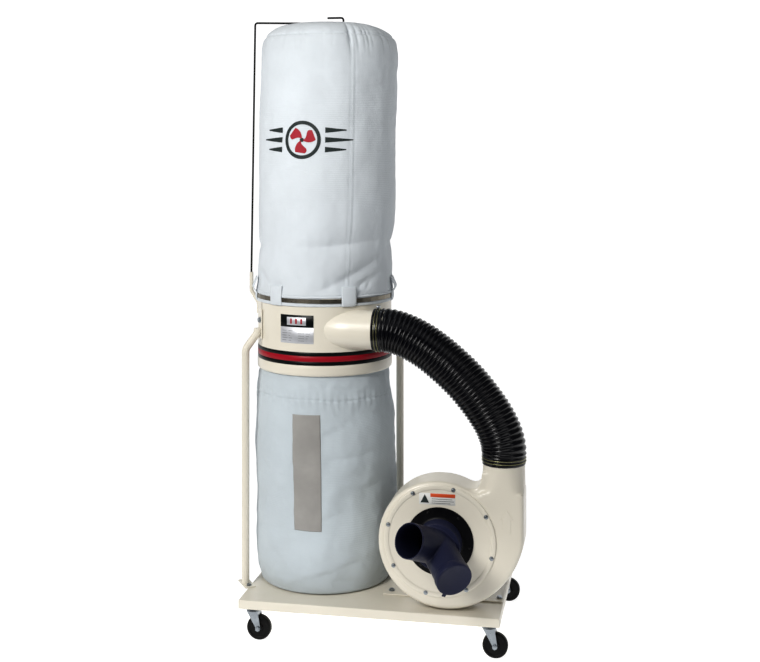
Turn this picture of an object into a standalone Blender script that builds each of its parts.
"""A two-bag dust collector on a wheeled base: a drum-shaped collar with a filter bag above it and a chip bag below, and
a motor-driven blower that feeds the collar through a flexible duct.

Metres, +Z up, -Y is the front. The lengths below are laid out from the middle of the base, on the floor; the machine
empty then shifts everything so that the origin is under the middle of the whole machine.
"""

import math

import bmesh
import bpy
from mathutils import Matrix, Vector

# ---- driving dimensions -------------------------------------------------------------------------------------------
MACHINE_SHIFT = (-0.01225, 0.08998, 0.0)  # from the middle of the base to the middle of the whole machine, on the floor
GAP = 0.0003  # between pieces that touch
CLEAR = 0.0006  # between a turning piece and its neighbour

BASE_LENGTH = 0.80
BASE_DEPTH = 0.56
DECK_Z = 0.1345
BASE_SIDE = 0.028  # height of the folded-down sides
BASE_LIP = 0.068  # width of the folded-in lips that carry the casters
SHEET = 0.0025

WHEEL_R = 0.038
WHEEL_WIDTH = 0.026
CASTER_TRAIL = 0.018
CASTER_X = 0.3645
CASTER_Y = 0.231
CASTER_PLATE = 0.060

DRUM_X = -0.195
DRUM_Y = 0.006
DRUM_R = 0.2167
DRUM_WALL = 0.002
ROUND = 40  # sides of the drum, the bags and their rings, all in step, so that their gaps stay even
DRUM_BOTTOM = 0.8105
DRUM_TOP = 1.0525
DUCT_R = 0.0635  # 5 inch tube
DUCT_WALL = 0.002
STUB_R = 0.0605  # the collar's inlet stub; only its raised end fills the duct
STUB_Y = DRUM_Y - 0.164
STUB_Z = 0.953

HOSE_R = 0.068
HOSE_START_X = 0.0003
HOSE_END_Z = 0.5715
CUFF = 0.036  # how far the hose slips over each tube
HOSE_PULL = 0.350  # how far the bend's handles reach towards its corner, as a share of its span

UPPER_HEM_R = DRUM_R + 0.0045  # outside of the filter bag's hem, where the strap sits
UPPER_BAG_BOTTOM = 1.0265
UPPER_BAG_TOP = 1.915
LOWER_BAG_BOTTOM = 0.137
LOWER_BAG_TOP = 0.8325
LOWER_HEM_R = 0.2085
BAG_WALL = 0.004
STRAP_Z = 1.044
STRAP_WIDTH = 0.013
LATCH_ANGLE = math.radians(78)

BLOWER_X = 0.219
BLOWER_Z = 0.3455
BLOWER_FRONT = -0.257
BLOWER_DEPTH = 2 * DUCT_R
BLOWER_Y = BLOWER_FRONT + BLOWER_DEPTH / 2
BLOWER_BACK = BLOWER_FRONT + BLOWER_DEPTH
VOLUTE_START = 0.175  # radius at the tongue
VOLUTE_END = 0.2495  # radius where the spiral meets the outlet
VOLUTE_EVEN = 0.54  # share of the spiral's growth that is even; the rest comes in its last quarter
OUTLET_X = VOLUTE_END - DUCT_R
COVER_R = 0.163
FLANGE_R = 0.102
NECK_R = 0.0685
PORT_R = 0.0508  # 4 inch port
PORT_WALL = 0.003
PORT_SPREAD = math.radians(36)  # each port's angle from the blower's axis
WYE_ROLL = math.radians(38)  # the pair of ports is rolled right side down
WYE_FORK_Y = BLOWER_FRONT - 0.056
PORT_LENGTH = 0.141

MOTOR_R = 0.0865
SHAFT_R = 0.0095
IMPELLER_R = 0.146
BLADE_COUNT = 8
ROCKER_TILT = math.radians(8)  # the switch rests in its off position, tilted this far

POST_R = 0.0125
POST_REACH = 0.270
POST_ANGLES = {"left": math.radians(215), "right": math.radians(35)}
POST_BEND_Z = 0.8795
TAB_BOLT_Z = 0.9695
ROD_R = 0.0033
HANGER_X = DRUM_X - 0.2485
HANGER_ROOT_Z = 1.0065  # where the socket tube bends away from the collar
SOCKET_TOP = 1.1065
HANGER_TOP = 1.926
HANGER_LEAN = 0.013  # how far the rod's top is nearer the bag than its foot
HANGER_SAG = 0.007  # how far its hook hangs below its bend
HOOK_X = DRUM_X + 0.062
HOOK_RISE = 0.019
HOOK_BACK = 0.053  # how far the hook's end comes back over the rod

FRONT = (math.radians(90), 0, 0)  # turns a piece's own +Z to face the front
RIGHT = (0, math.radians(90), 0)  # turns it to face +X


# ---- scene, materials and small tools -----------------------------------------------------------------------------
def clear_scene():
    for obj in list(bpy.data.objects):
        bpy.data.objects.remove(obj, do_unlink=True)


def new_collection(name):
    collection = bpy.data.collections.new(name)
    bpy.context.scene.collection.children.link(collection)
    return collection


def material(name, color, roughness, metallic=0.0):
    look = bpy.data.materials.new(name)
    look.use_nodes = True
    shader = look.node_tree.nodes["Principled BSDF"]
    shader.inputs["Base Color"].default_value = (*color, 1.0)
    shader.inputs["Roughness"].default_value = roughness
    shader.inputs["Metallic"].default_value = metallic
    return look


clear_scene()
PARTS = new_collection("dust_collector")
CUTTERS = new_collection("cutters")
MACHINE = bpy.data.objects.new("machine", None)
MACHINE.location = MACHINE_SHIFT
PARTS.objects.link(MACHINE)

IVORY = material("ivory_paint", (0.80, 0.75, 0.62), 0.35)
BLACK_PAINT = material("black_paint", (0.02, 0.02, 0.022), 0.4)
NAVY_PLASTIC = material("navy_black_plastic", (0.015, 0.016, 0.03), 0.35)
RUBBER = material("black_rubber", (0.02, 0.02, 0.02), 0.55)
HOSE_VINYL = material("hose_vinyl", (0.01, 0.01, 0.012), 0.25)
FILTER_CLOTH = material("filter_cloth", (0.72, 0.77, 0.80), 0.9)
ZINC = material("zinc_plate", (0.62, 0.64, 0.66), 0.35, 1.0)
STRAP_STEEL = material("strap_steel", (0.32, 0.30, 0.26), 0.35, 1.0)
CAST_ALUMINIUM = material("cast_aluminium", (0.60, 0.61, 0.62), 0.5, 1.0)
MOTOR_PAINT = material("motor_grey", (0.16, 0.17, 0.18), 0.45)
STEEL = material("bright_steel", (0.55, 0.56, 0.58), 0.3, 1.0)
RED_PLASTIC = material("red_plastic", (0.55, 0.02, 0.02), 0.4)


def add_part(name, mesh, look, location=(0, 0, 0), rotation=(0, 0, 0)):
    part = bpy.data.objects.new(name, mesh)
    PARTS.objects.link(part)
    part.parent = MACHINE
    part.location = location
    part.rotation_euler = rotation
    part.data.materials.append(look)
    return part


def boolean(part, tool, operation):
    """Cuts tool from part, or joins it on; the tool becomes a hidden helper."""
    step = part.modifiers.new(operation.lower(), "BOOLEAN")
    step.object = tool
    step.operation = operation
    step.solver = "EXACT"
    PARTS.objects.unlink(tool)
    CUTTERS.objects.link(tool)
    tool.hide_render = True
    tool.display_type = "WIRE"


def cut(part, *tools):
    for tool in tools:
        boolean(part, tool, "DIFFERENCE")
    return part


def join(part, *tools):
    for tool in tools:
        boolean(part, tool, "UNION")
    return part


def bevel(part, width, segments=2, angle=40):
    step = part.modifiers.new("rounded", "BEVEL")
    step.width = width
    step.segments = segments
    step.limit_method = "ANGLE"
    step.angle_limit = math.radians(angle)
    return part


def smooth(mesh, angle=35):
    mesh.shade_smooth()
    mesh.set_sharp_from_angle(angle=math.radians(angle))


def mesh_from(bm, name):
    mesh = bpy.data.meshes.new(name)
    bm.to_mesh(mesh)
    bm.free()
    smooth(mesh)
    return mesh


def block(name, size, look, location=(0, 0, 0), rotation=(0, 0, 0)):
    bm = bmesh.new()
    bmesh.ops.create_cube(bm, size=1.0)
    bmesh.ops.scale(bm, vec=size, verts=bm.verts)
    return add_part(name, mesh_from(bm, name), look, location, rotation)


def cylinder(name, radius, length, look, location=(0, 0, 0), rotation=(0, 0, 0), sides=32, end_radius=None):
    """A round bar centred on location, along its own Z; end_radius makes it a cone."""
    bm = bmesh.new()
    bmesh.ops.create_cone(
        bm,
        cap_ends=True,
        segments=sides,
        radius1=radius,
        radius2=radius if end_radius is None else end_radius,
        depth=length,
    )
    return add_part(name, mesh_from(bm, name), look, location, rotation)


def turned(name, profile, look, location=(0, 0, 0), rotation=(0, 0, 0), steps=40):
    """A turned piece: (radius, height) points down its outer side, then up its inner side or along its axis."""
    mesh = bpy.data.meshes.new(name)
    points = [(radius, 0, height) for radius, height in profile]
    on_axis = profile[0][0] == 0 and profile[-1][0] == 0
    edges = [(index, index + 1) for index in range(len(points) - 1)]
    if not on_axis:
        edges.append((len(points) - 1, 0))
    mesh.from_pydata(points, edges, [])
    part = add_part(name, mesh, look, location, rotation)
    turn = part.modifiers.new("turned", "SCREW")
    turn.steps = turn.render_steps = steps
    turn.use_merge_vertices = True
    turn.merge_threshold = 0.00001
    return part


def ring(name, outer, inner, top, bottom, look, location=(0, 0, 0), rotation=(0, 0, 0), steps=40):
    """A plain turned ring."""
    profile = [(outer, top), (outer, bottom), (inner, bottom), (inner, top)]
    return turned(name, profile, look, location, rotation, steps)


def mesh_of_curve(curve_object):
    """Swaps a curve object for a mesh object with welded caps, so that it can be cut and joined."""
    bpy.context.view_layer.update()
    graph = bpy.context.evaluated_depsgraph_get()
    mesh = bpy.data.meshes.new_from_object(curve_object.evaluated_get(graph))
    bm = bmesh.new()
    bm.from_mesh(mesh)
    bmesh.ops.remove_doubles(bm, verts=bm.verts, dist=0.00001)
    bmesh.ops.recalc_face_normals(bm, faces=bm.faces)
    bm.to_mesh(mesh)
    bm.free()
    smooth(mesh)
    name = curve_object.name
    look = curve_object.data.materials[0]
    location = curve_object.location.copy()
    rotation = curve_object.rotation_euler.copy()
    bpy.data.objects.remove(curve_object, do_unlink=True)
    mesh.name = name
    mesh.materials.clear()
    return add_part(name, mesh, look, location, rotation)


def bent_rod(name, points, radius, look, sides=12, capped=True):
    """A round rod along a chain of points."""
    curve = bpy.data.curves.new(name, "CURVE")
    curve.dimensions = "3D"
    curve.bevel_depth = radius
    curve.bevel_resolution = sides // 2 - 2
    curve.use_fill_caps = capped
    spline = curve.splines.new("POLY")
    spline.points.add(len(points) - 1)
    for spot, point in zip(spline.points, points):
        spot.co = (*point, 1.0)
    return mesh_of_curve(add_part(name, curve, look))


def sheet_outline(name, outline, thickness, look, location=(0, 0, 0), rotation=(0, 0, 0)):
    """A flat plate with this outline in its own XY plane, centred on its thickness."""
    curve = bpy.data.curves.new(name, "CURVE")
    curve.dimensions = "2D"
    curve.fill_mode = "BOTH"
    curve.extrude = thickness / 2
    spline = curve.splines.new("POLY")
    spline.points.add(len(outline) - 1)
    for spot, (x, y) in zip(spline.points, outline):
        spot.co = (x, y, 0, 1.0)
    spline.use_cyclic_u = True
    return mesh_of_curve(add_part(name, curve, look, location, rotation))


def polar(radius, angle, centre=(0.0, 0.0)):
    return centre[0] + radius * math.cos(angle), centre[1] + radius * math.sin(angle)


def fillet(points, radius, steps=5):
    """The chain of points with each inner corner rounded to this radius."""
    chain = [Vector(point) for point in points]
    rounded = [chain[0]]
    for before, corner, after in zip(chain, chain[1:], chain[2:]):
        to_before = (before - corner).normalized()
        to_after = (after - corner).normalized()
        half = to_before.angle(to_after) / 2
        reach = radius / math.tan(half)
        start = corner + to_before * reach
        end = corner + to_after * reach
        for step in range(steps + 1):
            t = step / steps
            rounded.append(start * (1 - t) ** 2 + corner * 2 * t * (1 - t) + end * t**2)
    rounded.append(chain[-1])
    return rounded


def bezier(start, start_handle, end_handle, end, steps):
    """Points on a cubic curve, both ends left out."""
    ends = [Vector(point) for point in (start, start_handle, end_handle, end)]
    points = []
    for step in range(1, steps):
        t = step / steps
        weights = ((1 - t) ** 3, 3 * t * (1 - t) ** 2, 3 * t**2 * (1 - t), t**3)
        points.append(sum((end * weight for end, weight in zip(ends, weights)), Vector()))
    return points


def hex_bolt(name, location, rotation, head_r=0.0075, head=0.005, washer_r=0.0095, shank_r=0.004, shank=0.014):
    """A hexagon-head bolt with its washer, whose seat is at location and whose head points along its own +Z."""
    look = ZINC
    bolt = cylinder(name, washer_r, 0.0016, look, location, rotation, sides=14)
    frame = Matrix.Translation(location) @ bolt.rotation_euler.to_matrix().to_4x4()
    bolt.location = frame @ Vector((0, 0, 0.0008 + GAP))
    head_at = frame @ Vector((0, 0, 0.0012 + GAP + head / 2))
    shank_at = frame @ Vector((0, 0, 0.0010 + GAP - shank / 2))
    hexagon = cylinder(name + "_head", head_r, head, look, head_at, rotation, sides=6)
    stem = cylinder(name + "_shank", shank_r, shank, look, shank_at, rotation, sides=8)
    return join(bolt, hexagon, stem)


def bolt_hole(location, rotation=(0, 0, 0), radius=0.0045, depth=0.03):
    return cylinder("bolt_hole", radius, depth, ZINC, location, rotation, sides=8)


# ---- base and casters ---------------------------------------------------------------------------------------------
BRACKET_BOLTS = [(x, y) for y in (-0.125, 0.085) for x in (0.050, 0.385)]


def foot_bolts(angle):
    """The two bolt places of a post's foot, side by side along the drum's edge."""
    x, y = polar(POST_REACH - 0.004, angle, (DRUM_X, DRUM_Y))
    along = Vector((-math.sin(angle), math.cos(angle)))
    return [Vector((x, y)) + along * side * 0.024 for side in (-1, 1)]


def base_pan():
    """A sheet-metal pan, upside down, with lips folded in all round its lower edge."""
    bm = bmesh.new()
    bmesh.ops.create_cube(bm, size=1.0)
    bmesh.ops.scale(bm, vec=(BASE_LENGTH, BASE_DEPTH, BASE_SIDE), verts=bm.verts)
    floor = min(bm.faces, key=lambda face: face.calc_center_median().z)
    bmesh.ops.inset_individual(bm, faces=[floor], thickness=BASE_LIP)
    bmesh.ops.delete(bm, geom=[floor], context="FACES_ONLY")
    pan = add_part("base_pan", mesh_from(bm, "base_pan"), IVORY, (0, 0, DECK_Z - BASE_SIDE / 2))
    bevel(pan, 0.003)
    wall = pan.modifiers.new("sheet", "SOLIDIFY")
    wall.thickness = SHEET
    wall.offset = -1
    for x, y in BRACKET_BOLTS:
        cut(pan, bolt_hole((x, y, DECK_Z)))
    for angle in POST_ANGLES.values():
        for x, y in foot_bolts(angle):
            cut(pan, bolt_hole((x, y, DECK_Z)))
    return pan


def caster_fork(name, x, y, race_top):
    """Two tapered legs under a flat bridge, with the lower ball race on top."""
    leg_top = race_top - 0.006
    top_half = 0.0175
    outline = [(-top_half, leg_top - WHEEL_R), (top_half, leg_top - WHEEL_R)]
    axle_end = [polar(0.008, math.radians(20 - 220 * step / 6), (CASTER_TRAIL, 0)) for step in range(7)]
    outline += axle_end
    fork = sheet_outline(name, outline, WHEEL_WIDTH + 0.011, ZINC, (x, y, WHEEL_R), FRONT)
    slot_height = WHEEL_R + 0.0015 + 0.06
    slot = block(
        name + "_slot",
        (0.12, WHEEL_WIDTH + 0.005, slot_height),
        ZINC,
        (x, y, WHEEL_R + WHEEL_R + 0.0025 - slot_height / 2),
    )
    hole = cylinder(name + "_axle_hole", 0.0046, 0.08, ZINC, (x + CASTER_TRAIL, y, WHEEL_R), FRONT, sides=12)
    race = cylinder(name + "_race", 0.0225, 0.0075, ZINC, (x, y, race_top - 0.00375), sides=20, end_radius=0.0205)
    return join(cut(fork, slot, hole), race)


def caster(side, x, y):
    """A plate caster: fixed top plate, swivelling fork, axle bolt and wheel."""
    plate_top = DECK_Z - BASE_SIDE - GAP
    plate = block("caster_plate_" + side, (CASTER_PLATE, CASTER_PLATE, 0.003), BLACK_PAINT, (x, y, plate_top - 0.0015))
    bevel(plate, 0.004, 1, 80)
    upper_race = cylinder("upper_race", 0.0235, 0.006, BLACK_PAINT, (x, y, plate_top - 0.0055), sides=20)
    join(plate, upper_race)
    race_top = plate_top - 0.0085 - CLEAR
    caster_fork("caster_fork_" + side, x, y, race_top)

    axle_x = x + CASTER_TRAIL
    axle = cylinder("caster_axle_" + side, 0.0040, 0.050, ZINC, (axle_x, y, WHEEL_R), FRONT, sides=10)
    for end in (-1, 1):
        nut_y = y + end * (WHEEL_WIDTH / 2 + 0.0055 + GAP + 0.00225)
        join(axle, cylinder("axle_nut", 0.0075, 0.0045, ZINC, (axle_x, nut_y, WHEEL_R), FRONT, sides=6))

    half = WHEEL_WIDTH / 2
    bore = 0.0040 + CLEAR
    outer = [(0.014, half), (0.016, half - 0.003), (0.033, half - 0.002), (WHEEL_R, half - 0.008)]
    profile = outer + [(radius, -height) for radius, height in reversed(outer)] + [(bore, -half), (bore, half)]
    turned("caster_wheel_" + side, profile, RUBBER, (axle_x, y, WHEEL_R), FRONT, steps=28)


# ---- blower -------------------------------------------------------------------------------------------------------
def volute_outline(inset=0.0):
    """The blower case seen from the front: a spiral that opens clockwise from the tongue into a straight outlet."""
    points = []
    tongue = 63
    for degrees in range(tongue, 360, 11):
        turned_share = max(0.0, (degrees - 90) / 270)
        growth = VOLUTE_EVEN * turned_share + (1 - VOLUTE_EVEN) * turned_share**6
        radius = VOLUTE_START + (VOLUTE_END - VOLUTE_START) * growth - inset
        points.append(polar(radius, math.radians(degrees)))
    right = VOLUTE_END - inset
    left = VOLUTE_END - 2 * DUCT_R + inset
    shoulder = 0.208
    points += [(right, 0.0), (right, shoulder), (left, shoulder)]
    start = Vector(points[0])
    corner = Vector((left, start.y - 0.022))
    top = Vector((left, shoulder))
    for step in range(6, 0, -1):
        t = step / 7
        point = start * (1 - t) ** 2 + corner * 2 * t * (1 - t) + top * t**2
        points.append((point.x, point.y))
    return points


def blower_housing():
    """The spiral case: rounded rims, an outlet tube on top, a round opening in front and a shaft hole behind."""
    centre = (BLOWER_X, BLOWER_Y, BLOWER_Z)
    case = sheet_outline("blower_housing", volute_outline(), BLOWER_DEPTH, IVORY, centre, FRONT)
    bevel(case, 0.016, 2, 60)
    outlet_top = HOSE_END_Z + CUFF
    outlet_low = BLOWER_Z + 0.10
    outlet_at = (BLOWER_X + OUTLET_X, BLOWER_Y, (outlet_top + outlet_low) / 2)
    length = outlet_top - outlet_low
    outlet = cylinder("outlet_tube", DUCT_R, length, IVORY, outlet_at, sides=40)
    inside = sheet_outline("case_inside", volute_outline(0.003), BLOWER_DEPTH - 0.006, IVORY, centre, FRONT)
    bevel(inside, 0.012, 1, 60)
    bore = cylinder("outlet_bore", DUCT_R - DUCT_WALL, length + 0.02, IVORY, outlet_at, sides=40)
    mouth = cylinder(
        "front_opening", IMPELLER_R + 0.004, 0.02, IVORY, (BLOWER_X, BLOWER_FRONT, BLOWER_Z), FRONT, sides=48
    )
    shaft_hole = cylinder(
        "shaft_hole", SHAFT_R + 0.004, 0.02, IVORY, (BLOWER_X, BLOWER_BACK, BLOWER_Z), FRONT, sides=24
    )
    return cut(join(case, outlet), inside, bore, mouth, shaft_hole)


def blower_cover():
    """The round front plate with a raised rim that takes its screws."""
    inner = NECK_R + 0.004
    back = 0.0
    face = 0.0025
    rim = 0.0045
    profile = [
        (inner, face),
        (COVER_R - 0.0145, face),
        (COVER_R - 0.0130, rim),
        (COVER_R - 0.0015, rim),
        (COVER_R, rim - 0.0015),
        (COVER_R, back),
        (inner, back),
    ]
    turned("blower_cover", profile, IVORY, (BLOWER_X, BLOWER_FRONT - GAP, BLOWER_Z), FRONT, steps=48)


def port_direction(side):
    """The way a port faces: side is -1 for the open one, up and left, and 1 for the capped one, down and right."""
    across = Vector((math.cos(WYE_ROLL), 0, -math.sin(WYE_ROLL))) * side
    return across * math.sin(PORT_SPREAD) + Vector((0, -math.cos(PORT_SPREAD), 0))


def along(direction):
    """The rotation that turns a piece's own +Z to this direction."""
    return direction.to_track_quat("Z", "Y").to_euler()


def inlet():
    """The inlet flange with its short neck, the two-way inlet that slips over it, and the cap on one port."""
    face = BLOWER_FRONT - GAP - 0.0025 - GAP
    flange_profile = [
        (NECK_R - 0.003, 0.030),
        (NECK_R - 0.003, 0.004),
        (FLANGE_R - 0.001, 0.004),
        (FLANGE_R, 0.003),
        (FLANGE_R, 0.0),
        (NECK_R - 0.006, 0.0),
        (NECK_R - 0.006, 0.030),
    ]
    turned("inlet_flange", flange_profile, NAVY_PLASTIC, (BLOWER_X, face, BLOWER_Z), FRONT, steps=32)

    neck_back = face - 0.004 - GAP
    fork = Vector((BLOWER_X, WYE_FORK_Y, BLOWER_Z))
    neck_length = neck_back - (WYE_FORK_Y - 0.006)
    neck_at = (BLOWER_X, neck_back - neck_length / 2, BLOWER_Z)
    wye = cylinder("inlet_wye", NECK_R, neck_length, NAVY_PLASTIC, neck_at, FRONT, sides=40)
    bores = [
        cylinder(
            "neck_bore",
            NECK_R - 0.003 + GAP,
            neck_length - 0.006,
            NAVY_PLASTIC,
            (BLOWER_X, neck_back - (neck_length - 0.006) / 2 + 0.004, BLOWER_Z),
            FRONT,
            sides=40,
        )
    ]
    for side in (-1, 1):
        way = port_direction(side)
        root = -0.022
        middle = fork + way * (PORT_LENGTH + root) / 2
        join(wye, cylinder("port", PORT_R, PORT_LENGTH - root, NAVY_PLASTIC, middle, along(way), sides=40))
        bore_end = PORT_LENGTH + 0.02
        bore_root = 0.012
        bore_middle = fork + way * (bore_end + bore_root) / 2
        bores.append(
            cylinder(
                "port_bore", PORT_R - PORT_WALL, bore_end - bore_root, NAVY_PLASTIC, bore_middle, along(way), sides=40
            )
        )
    cut(wye, *bores)

    way = port_direction(1)
    seat = fork + way * (PORT_LENGTH + GAP)
    skirt = PORT_R + 0.0004
    cap_profile = [
        (0.0, 0.0025),
        (skirt + 0.0010, 0.0025),
        (skirt + 0.0022, 0.0012),
        (skirt + 0.0022, -0.0200),
        (skirt, -0.0200),
        (skirt, 0.0),
        (0.0, 0.0),
    ]
    cap = turned("port_cap", cap_profile, NAVY_PLASTIC, seat, along(way), steps=40)
    down_left = Vector((-0.55, 0, -1)).normalized()
    down_left = (down_left - way * down_left.dot(way)).normalized()
    tab_at = seat + down_left * (PORT_R + 0.0055) + way * 0.0005
    join(cap, block("cap_tab", (0.012, 0.010, 0.003), NAVY_PLASTIC, tab_at, tab_rotation(way, down_left)))


def tab_rotation(way, outward):
    """A tab's rotation: its own Z along way and its own Y outward."""
    side = outward.cross(way)
    return Matrix((side, outward, way)).transposed().to_euler()


# ---- motor and impeller -------------------------------------------------------------------------------------------
MOTOR_FRONT = BLOWER_BACK + GAP
BELL = 0.026
HOUSING_LENGTH = 0.140
HOUSING_FRONT = MOTOR_FRONT + BELL + GAP
HOUSING_BACK = HOUSING_FRONT + HOUSING_LENGTH
REAR_BELL = 0.016
FAN_COVER_BACK = 0.130


def motor_housing():
    """A finned barrel with the stator's bore through it."""
    fins = 24
    points = []
    for fin in range(fins):
        for share, radius in ((0.0, MOTOR_R - 0.004), (0.25, MOTOR_R), (0.50, MOTOR_R), (0.75, MOTOR_R - 0.004)):
            points.append(polar(radius, math.tau * (fin + share) / fins))
    middle = (BLOWER_X, (HOUSING_FRONT + HOUSING_BACK) / 2, BLOWER_Z)
    barrel = sheet_outline("motor_housing", points, HOUSING_LENGTH, MOTOR_PAINT, middle, FRONT)
    return cut(barrel, cylinder("stator_bore", 0.044, HOUSING_LENGTH + 0.02, MOTOR_PAINT, middle, FRONT, sides=32))


def motor_bells():
    """The end bells, each with a pocket for its ball bearing, and the bearings in them."""
    pocket = 0.0175
    front = [
        (MOTOR_R - 0.002, 0.0),
        (MOTOR_R - 0.002, -BELL + 0.002),
        (MOTOR_R - 0.004, -BELL),
        (pocket, -BELL),
        (pocket, -BELL + 0.0125),
        (SHAFT_R + 0.003, -BELL + 0.0125),
        (SHAFT_R + 0.003, 0.0),
    ]
    turned("motor_front_bell", front, CAST_ALUMINIUM, (BLOWER_X, MOTOR_FRONT, BLOWER_Z), FRONT, steps=28)
    back_face = HOUSING_BACK + GAP
    rear = [
        (MOTOR_R - 0.004, 0.0),
        (MOTOR_R - 0.002, -0.002),
        (MOTOR_R - 0.002, -REAR_BELL),
        (SHAFT_R + 0.003, -REAR_BELL),
        (SHAFT_R + 0.003, -REAR_BELL + 0.003),
        (pocket, -REAR_BELL + 0.003),
        (pocket, 0.0),
    ]
    turned("motor_rear_bell", rear, CAST_ALUMINIUM, (BLOWER_X, back_face, BLOWER_Z), FRONT, steps=28)
    race = {"outer": pocket - GAP, "inner": SHAFT_R + CLEAR, "steps": 20, "rotation": FRONT, "look": STEEL}
    ring("front_bearing", top=0.0, bottom=-0.0115, location=(BLOWER_X, HOUSING_FRONT - 0.0125, BLOWER_Z), **race)
    ring("rear_bearing", top=0.0, bottom=-0.0115, location=(BLOWER_X, back_face + 0.0008, BLOWER_Z), **race)


def motor_fan_cover():
    """A drawn cup over the cooling fan, with slots in its end."""
    start = HOUSING_BACK + GAP + REAR_BELL + GAP
    length = FAN_COVER_BACK - start
    skin = 0.0015
    profile = [
        (0.0, -length + skin),
        (MOTOR_R - 0.0105, -length + skin),
        (MOTOR_R - skin, -length + 0.0105),
        (MOTOR_R - skin, 0.0),
        (MOTOR_R, 0.0),
        (MOTOR_R, -length + 0.010),
        (MOTOR_R - 0.010, -length),
        (0.0, -length),
    ]
    cover = turned("motor_fan_cover", profile, MOTOR_PAINT, (BLOWER_X, start, BLOWER_Z), FRONT, steps=32)
    for index in range(10):
        angle = math.tau * index / 10
        x, z = polar(0.042, angle, (BLOWER_X, BLOWER_Z))
        slot = block("fan_slot", (0.034, 0.012, 0.006), MOTOR_PAINT, (x, FAN_COVER_BACK, z), (0, -angle, 0))
        cut(cover, slot)
    return cover


def rotor():
    """What spins: the shaft with its rotor core, the cooling fan, the impeller and its nut."""
    shaft_front = BLOWER_FRONT + 0.034
    shaft_back = FAN_COVER_BACK - 0.012
    core_front = HOUSING_FRONT + 0.016
    core_back = HOUSING_BACK - 0.016
    core_r = 0.0432
    profile = [
        (0.0, -shaft_front),
        (SHAFT_R, -shaft_front),
        (SHAFT_R, -core_front),
        (core_r, -core_front),
        (core_r, -core_back),
        (SHAFT_R, -core_back),
        (SHAFT_R, -shaft_back),
        (0.0, -shaft_back),
    ]
    turned("motor_shaft", profile, STEEL, (BLOWER_X, 0, BLOWER_Z), FRONT, steps=28)

    fan_y = FAN_COVER_BACK - 0.022
    fan = ring("motor_fan", 0.020, SHAFT_R + GAP, 0.007, -0.007, NAVY_PLASTIC, (BLOWER_X, fan_y, BLOWER_Z), FRONT, 28)
    for index in range(6):
        angle = math.tau * index / 6
        x, z = polar(0.043, angle, (BLOWER_X, BLOWER_Z))
        join(fan, block("fan_blade", (0.050, 0.012, 0.002), NAVY_PLASTIC, (x, fan_y, z), (0, -angle, 0)))

    plate_y = BLOWER_BACK - 0.0145
    wheel = turned(
        "impeller",
        [
            (SHAFT_R + GAP, 0.060),
            (0.020, 0.060),
            (0.026, 0.004),
            (IMPELLER_R, 0.004),
            (IMPELLER_R, 0.0),
            (SHAFT_R + GAP, 0.0),
        ],
        CAST_ALUMINIUM,
        (BLOWER_X, plate_y, BLOWER_Z),
        FRONT,
        steps=48,
    )
    for index in range(BLADE_COUNT):
        angle = math.tau * (index + 0.5) / BLADE_COUNT
        x, z = polar(0.083, angle, (BLOWER_X, BLOWER_Z))
        blade_at = (x, plate_y - 0.0275, z)
        join(wheel, block("blade", (0.122, 0.052, 0.004), CAST_ALUMINIUM, blade_at, (0, -angle, 0)))
    nut_y = plate_y - 0.060 - GAP
    nut_at = (BLOWER_X, nut_y - 0.006, BLOWER_Z)
    nut = cylinder("impeller_nut", 0.017, 0.012, ZINC, nut_at, FRONT, sides=6)
    cut(nut, cylinder("nut_bore", SHAFT_R + GAP, 0.03, ZINC, nut_at, FRONT, sides=24))


def motor_bracket():
    """A plate bolted to the deck with a folded pedestal up to the motor, saddle-cut to its barrel."""
    left, right = 0.028, 0.398
    front, back = -0.156, 0.108
    middle_x = (left + right) / 2
    top = DECK_Z + GAP + 0.004
    plate_at = (middle_x, (front + back) / 2, top - 0.002)
    plate = block("motor_bracket", (right - left, back - front, 0.004), IVORY, plate_at)
    bevel(plate, 0.012, 2, 80)
    pedestal_front, pedestal_back = HOUSING_FRONT + 0.004, HOUSING_BACK - 0.010
    height = BLOWER_Z - MOTOR_R + 0.020 - top
    depth = pedestal_back - pedestal_front
    pedestal_y = (pedestal_front + pedestal_back) / 2
    pedestal = block("pedestal", (0.130, depth, height + 0.002), IVORY, (BLOWER_X, pedestal_y, top + height / 2 - 0.001))
    hollow = block(
        "pedestal_hollow",
        (0.122, depth + 0.02, height - 0.030),
        IVORY,
        (BLOWER_X, pedestal_y, top + (height - 0.030) / 2 + 0.0005),
    )
    saddle = cylinder("saddle", MOTOR_R + GAP, 0.4, IVORY, (BLOWER_X, pedestal_y, BLOWER_Z), FRONT, sides=72)
    cut(join(plate, pedestal), hollow, saddle)
    for x, y in BRACKET_BOLTS:
        cut(plate, bolt_hole((x, y, top)))
    for number, (x, y) in enumerate(BRACKET_BOLTS, 1):
        hex_bolt(f"bracket_bolt_{number}", (x, y, top), (0, 0, 0))


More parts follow.
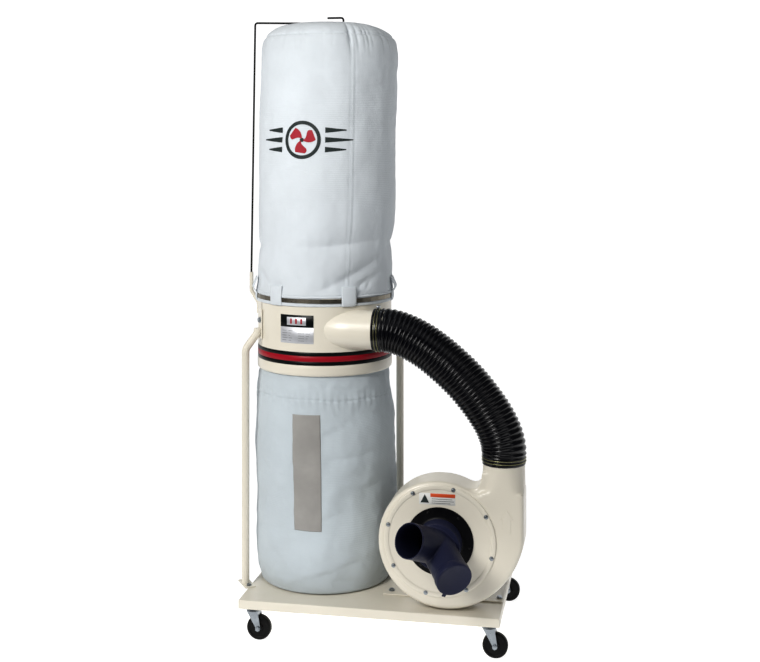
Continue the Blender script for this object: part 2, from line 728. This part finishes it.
def motor_fittings():
    """The switch box with its rocker and cable gland on the motor's right side, and the capacitor cover on top."""
    box_at = Vector((BLOWER_X + MOTOR_R + 0.022, (HOUSING_FRONT + HOUSING_BACK) / 2, BLOWER_Z + 0.004))
    size = Vector((0.042, 0.076, 0.060))
    box = block("switch_box", size, BLACK_PAINT, box_at)
    bevel(box, 0.004)
    face_x = box_at.x + size.x / 2
    pocket = block("rocker_pocket", (0.032, 0.028, 0.040), BLACK_PAINT, (face_x, box_at.y, box_at.z + 0.003))
    barrel = cylinder("box_saddle", MOTOR_R + GAP, 0.3, BLACK_PAINT, (BLOWER_X, box_at.y, BLOWER_Z), FRONT, sides=72)
    cut(box, pocket, barrel)
    face = [polar(0.0175, math.radians(degrees)) for degrees in (-62, -42, -16, 0, 16, 42, 62)]
    rocker_profile = [(-0.002, 0.0155), (-0.002, -0.0155), *face]
    rocker_at = (face_x - 0.0085, box_at.y, box_at.z + 0.003)
    resting = (FRONT[0], ROCKER_TILT, 0)
    sheet_outline("switch_rocker", rocker_profile, 0.026, RED_PLASTIC, rocker_at, resting)

    gland_top = box_at.z - size.z / 2 - GAP
    gland = [
        (0.0045, 0.0),
        (0.011, 0.0),
        (0.011, -0.005),
        (0.009, -0.006),
        (0.009, -0.013),
        (0.0065, -0.018),
        (0.0045, -0.018),
    ]
    turned("cable_gland", gland, NAVY_PLASTIC, (box_at.x, box_at.y + 0.020, gland_top), steps=20)

    cover = cylinder(
        "capacitor_cover",
        0.024,
        0.098,
        MOTOR_PAINT,
        (BLOWER_X - 0.030, (HOUSING_FRONT + HOUSING_BACK) / 2, BLOWER_Z + MOTOR_R + 0.006),
        FRONT,
        sides=28,
    )
    bevel(cover, 0.005, 2, 60)
    cut(
        cover,
        cylinder("cover_saddle", MOTOR_R + GAP, 0.3, MOTOR_PAINT, (BLOWER_X, 0, BLOWER_Z), FRONT, sides=72),
    )


# ---- collar, posts and hanger -------------------------------------------------------------------------------------
def stub_route(end_x):
    """The inlet stub's middle line: straight under the duct, and bent back into the drum at its root."""
    points = []
    for x in (-0.180, -0.165, -0.150, -0.135, -0.120, -0.100, -0.080, -0.060, end_x):
        points.append((x, STUB_Y + 2.3 * max(0.0, -0.065 - x) ** 2, STUB_Z))
    return points


def collar():
    """The drum between the bags, rolled in at its lower lip, with the inlet stub leaving along its front."""
    wall = DRUM_WALL
    profile = [
        (DRUM_R - wall, DRUM_TOP),
        (DRUM_R, DRUM_TOP),
        (DRUM_R, DRUM_BOTTOM + 0.032),
        (DRUM_R + 0.0015, DRUM_BOTTOM + 0.027),
        (DRUM_R + 0.0015, DRUM_BOTTOM + 0.010),
        (DRUM_R - 0.0010, DRUM_BOTTOM + 0.003),
        (DRUM_R - 0.0045, DRUM_BOTTOM),
        (DRUM_R - 0.0060, DRUM_BOTTOM),
        (DRUM_R - 0.0060, DRUM_BOTTOM + 0.002),
        (DRUM_R - 0.0030, DRUM_BOTTOM + 0.004),
        (DRUM_R - wall, DRUM_BOTTOM + 0.010),
    ]
    drum = turned("collar", profile, IVORY, (DRUM_X, DRUM_Y, 0), steps=ROUND)
    stub_end = HOSE_START_X + CUFF
    stub = bent_rod("stub", stub_route(stub_end), STUB_R, IVORY, sides=40)
    bead_length = CUFF - 0.004
    bead_at = (stub_end - bead_length / 2, STUB_Y, STUB_Z)
    join(stub, cylinder("stub_bead", DUCT_R, bead_length, IVORY, bead_at, RIGHT, sides=40))
    bore = bent_rod("stub_bore", stub_route(stub_end + 0.01), STUB_R - DUCT_WALL, IVORY, sides=40)
    inside = turned(
        "drum_inside",
        [(0.0, 0.08), (DRUM_R - wall / 2, 0.08), (DRUM_R - wall / 2, -0.08), (0.0, -0.08)],
        IVORY,
        (DRUM_X, DRUM_Y, STUB_Z),
        steps=ROUND,
    )
    cut(stub, inside)
    join(drum, stub)
    cut(drum, bore)
    for angle in POST_ANGLES.values():
        x, y = polar(DRUM_R, angle, (DRUM_X, DRUM_Y))
        cut(drum, bolt_hole((x, y, TAB_BOLT_Z), (0, math.radians(90), angle)))
    return drum


def post(side):
    """A tube from a foot plate on the deck, bent in under a flattened tab that bolts to the collar."""
    angle = POST_ANGLES[side]
    foot_z = DECK_Z + GAP
    tab_r = DRUM_R + GAP + 0.0020
    reach_in = tab_r + 0.004
    heights = [
        (POST_REACH, foot_z + 0.001),
        (POST_REACH, POST_BEND_Z),
        (reach_in + POST_R * 0.55, POST_BEND_Z + 0.050),
        (reach_in + POST_R * 0.55, POST_BEND_Z + 0.064),
    ]
    points = [(*polar(radius, angle, (DRUM_X, DRUM_Y)), z) for radius, z in heights]
    tube = bent_rod("post_" + side, fillet(points, 0.030, 4), POST_R, IVORY, sides=12)
    tab_z = (POST_BEND_Z + 0.030, POST_BEND_Z + 0.124)
    tab_at = (*polar(tab_r + 0.0010, angle, (DRUM_X, DRUM_Y)), sum(tab_z) / 2)
    turn = (0, 0, angle)
    tab = block("tab", (0.004, 0.028, tab_z[1] - tab_z[0]), IVORY, tab_at, turn)
    bevel(tab, 0.006, 2, 80)
    foot_at = (*polar(POST_REACH - 0.004, angle, (DRUM_X, DRUM_Y)), foot_z + 0.002)
    foot = block("foot", (0.034, 0.076, 0.004), IVORY, foot_at, turn)
    drum_clearance = cylinder("drum_space", DRUM_R + 0.0015 + GAP, 0.6, IVORY, (DRUM_X, DRUM_Y, 0.90), sides=72)
    join(tube, tab, foot)
    cut(tube, drum_clearance)
    bolt_radius = tab_r + 0.003
    x, y = polar(bolt_radius, angle, (DRUM_X, DRUM_Y))
    outward = (0, math.radians(90), angle)
    cut(tube, bolt_hole((x, y, TAB_BOLT_Z), outward))
    hex_bolt("collar_bolt_" + side, (x, y, TAB_BOLT_Z), outward, shank=0.012)
    for number, (x, y) in enumerate(foot_bolts(angle), 1):
        cut(tube, bolt_hole((x, y, foot_z)))
        hex_bolt(f"foot_bolt_{side}_{number}", (x, y, foot_z + 0.004), (0, 0, 0), 0.0065, 0.0045, 0.008, 0.0035)


def hanger():
    """A bent socket tube on the collar's left side, and the thin rod in it, whose end hooks back over the bag's middle."""
    start = (DRUM_X - DRUM_R - GAP - 0.0065, DRUM_Y, HANGER_ROOT_Z - 0.034)
    points = [
        start,
        (start[0], DRUM_Y, HANGER_ROOT_Z),
        (HANGER_X, DRUM_Y, HANGER_ROOT_Z + 0.040),
        (HANGER_X, DRUM_Y, SOCKET_TOP),
    ]
    socket = bent_rod("hanger_socket", fillet(points, 0.016, 4), 0.0065, IVORY, sides=12)
    bore = cylinder("rod_bore", ROD_R + GAP, 0.030, IVORY, (HANGER_X, DRUM_Y, SOCKET_TOP), sides=16)
    cut(socket, bore)
    rod = [
        (HANGER_X, DRUM_Y, SOCKET_TOP - 0.0145),
        (HANGER_X, DRUM_Y, SOCKET_TOP + 0.010),
        (HANGER_X + HANGER_LEAN, DRUM_Y, HANGER_TOP),
        (HOOK_X, DRUM_Y, HANGER_TOP - HANGER_SAG),
        (HOOK_X, DRUM_Y, HANGER_TOP - HANGER_SAG + HOOK_RISE),
        (HOOK_X - HOOK_BACK, DRUM_Y, HANGER_TOP - HANGER_SAG + HOOK_RISE),
    ]
    bent_rod("hanger_rod", fillet(rod, 0.009, 4), ROD_R, BLACK_PAINT, sides=12)


# ---- bags ---------------------------------------------------------------------------------------------------------
def loft(name, rings, close_top, look, sides=ROUND):
    """A skin through rings of (x, y, z, radius), closed at one end, with the cloth's thickness inward."""
    bm = bmesh.new()
    loops = []
    for x, y, z, radius in rings:
        loop = []
        for side in range(sides):
            angle = math.tau * side / sides
            loop.append(bm.verts.new((x + radius * math.cos(angle), y + radius * math.sin(angle), z)))
        loops.append(loop)
    for low, high in zip(loops, loops[1:]):
        for side in range(sides):
            after = (side + 1) % sides
            bm.faces.new((low[side], low[after], high[after], high[side]))
    if close_top:
        bm.faces.new(loops[-1])
    else:
        bm.faces.new(list(reversed(loops[0])))
    bag = add_part(name, mesh_from(bm, name), look)
    cloth = bag.modifiers.new("cloth", "SOLIDIFY")
    cloth.thickness = BAG_WALL
    cloth.offset = -1
    return bag


def upper_bag():
    """The filter bag: a hem round the collar's top, a body that leans a little to the right, and a domed top."""
    levels = [
        (UPPER_BAG_BOTTOM, UPPER_HEM_R, 0.0),
        (1.0525, UPPER_HEM_R, 0.0),
        (1.0800, 0.2195, 0.001),
        (1.2090, 0.2180, 0.003),
        (1.3400, 0.2225, 0.008),
        (1.6700, 0.2205, 0.013),
    ]
    shoulder, shoulder_r, dome_lean = 1.80, 0.216, 0.016
    for step in range(5):
        angle = math.radians(18 * step)
        height = shoulder + (UPPER_BAG_TOP - shoulder) * math.sin(angle)
        levels.append((height, shoulder_r * math.cos(angle) ** 0.62, dome_lean))
    levels.append((UPPER_BAG_TOP, 0.02, dome_lean))
    rings = [(DRUM_X + lean, DRUM_Y, z, radius) for z, radius, lean in levels]
    loft("upper_bag", rings, True, FILTER_CLOTH)


def lower_bag():
    """The chip bag: its hem goes up inside the collar, and it swells towards the deck that it rests on."""
    levels = [
        (LOWER_BAG_BOTTOM, 0.1700, 0.004),
        (0.1465, 0.2000, 0.004),
        (0.1745, 0.2160, 0.005),
        (0.3945, 0.2265, 0.006),
        (0.5545, 0.2265, 0.005),
        (0.6945, 0.2210, 0.001),
        (0.7945, 0.2130, -0.002),
        (0.8065, LOWER_HEM_R, 0.0),
        (LOWER_BAG_TOP, LOWER_HEM_R, 0.0),
    ]
    rings = [(DRUM_X + lean, DRUM_Y, z, radius) for z, radius, lean in levels]
    loft("lower_bag", rings, False, FILTER_CLOTH)


def bag_fasteners():
    """The steel strap round the filter bag's hem with its toggle lever, and the snap ring inside the chip bag's hem."""
    centre = (DRUM_X, DRUM_Y)
    inner = UPPER_HEM_R + GAP
    outer = inner + 0.0012
    low = STRAP_Z - STRAP_WIDTH / 2
    strap = ring("bag_strap", outer, inner, low + STRAP_WIDTH, low, STRAP_STEEL, (*centre, 0))
    turn = (0, 0, LATCH_ANGLE)
    lug_at = (*polar(outer + 0.0050, LATCH_ANGLE, centre), STRAP_Z)
    slot_at = (*polar(outer + 0.0100, LATCH_ANGLE, centre), STRAP_Z)
    pivot = (*polar(outer + 0.0072, LATCH_ANGLE, centre), STRAP_Z)
    join(strap, block("latch_lug", (0.0125, 0.014, STRAP_WIDTH), STRAP_STEEL, lug_at, turn))
    cut(strap, block("latch_slot", (0.0150, 0.030, 0.0080), STRAP_STEEL, slot_at, turn))
    join(strap, cylinder("latch_pin", 0.0013, STRAP_WIDTH - 0.001, STRAP_STEEL, pivot, sides=12))
    eye_r = 0.0036
    arm = 0.0013  # half the arm's thickness
    eye = [polar(eye_r, math.radians(degrees)) for degrees in range(160, 381, 44)]
    outline = [*eye, (arm, 0.0040), (arm, 0.0360), (0.0050, 0.0420), (0.0030, 0.0430), (-arm, 0.0375), (-arm, 0.0040)]
    lever = sheet_outline("strap_lever", outline, 0.0068, ZINC, pivot, turn)
    cut(lever, cylinder("lever_bore", 0.0013 + CLEAR, 0.03, ZINC, pivot, sides=12))
    hem_inside = LOWER_HEM_R - BAG_WALL - GAP
    ring("snap_ring", hem_inside, hem_inside - 0.002, LOWER_BAG_TOP - 0.004, DRUM_BOTTOM + 0.003, STRAP_STEEL, (*centre, 0))


# ---- hose ---------------------------------------------------------------------------------------------------------
def hose_route():
    """Straight over the stub, one smooth bend, straight down over the blower's outlet."""
    outlet_x = BLOWER_X + OUTLET_X
    start = Vector((HOSE_START_X, STUB_Y, STUB_Z))
    stub_end = start + Vector((CUFF, 0, 0))
    end = Vector((outlet_x, BLOWER_Y, HOSE_END_Z))
    outlet_end = end + Vector((0, 0, CUFF))
    start_handle = stub_end + Vector((HOSE_PULL * (outlet_end.x - stub_end.x), 0, 0))
    end_handle = outlet_end + Vector((0, 0, HOSE_PULL * (stub_end.z - outlet_end.z)))
    bend = bezier(stub_end, start_handle, end_handle, outlet_end, 14)
    return [start, stub_end, *bend, outlet_end, end]


def hose():
    """The flexible duct as a plain tube: its outer size is over the ribs."""
    tube = bent_rod("hose", hose_route(), HOSE_R, HOSE_VINYL, sides=24, capped=False)
    wall = tube.modifiers.new("wall", "SOLIDIFY")
    wall.thickness = HOSE_R - DUCT_R - 0.0015
    wall.offset = -1


def hose_clamps():
    """A wire clamp with its screw at each end of the hose."""
    outlet_x = BLOWER_X + OUTLET_X
    places = {
        "hose_clamp_collar": ((HOSE_START_X + 0.014, STUB_Y, STUB_Z), RIGHT, (0, 0, 1)),
        "hose_clamp_blower": ((outlet_x, BLOWER_Y, HOSE_END_Z + 0.014), (0, 0, 0), (0, 1, 0)),
    }
    inner = HOSE_R + GAP
    for name, (centre, rotation, screw_side) in places.items():
        clamp = ring(name, inner + 0.0012, inner, 0.005, -0.005, STRAP_STEEL, centre, rotation)
        screw_at = Vector(centre) + Vector(screw_side) * (inner + 0.0045)
        size = (0.010, 0.018, 0.009) if rotation == RIGHT else (0.018, 0.009, 0.010)
        join(clamp, block("clamp_screw", size, STRAP_STEEL, screw_at))


# ---- build --------------------------------------------------------------------------------------------------------
base_pan()
for row, caster_y in (("front", -CASTER_Y), ("rear", CASTER_Y)):
    for hand, caster_x in (("left", -CASTER_X), ("right", CASTER_X)):
        caster(f"{row}_{hand}", caster_x, caster_y)
blower_housing()
blower_cover()
inlet()
motor_housing()
motor_bells()
motor_fan_cover()
rotor()
motor_bracket()
motor_fittings()
collar()
for post_side in POST_ANGLES:
    post(post_side)
hanger()
upper_bag()
lower_bag()
bag_fasteners()
hose()
hose_clamps()
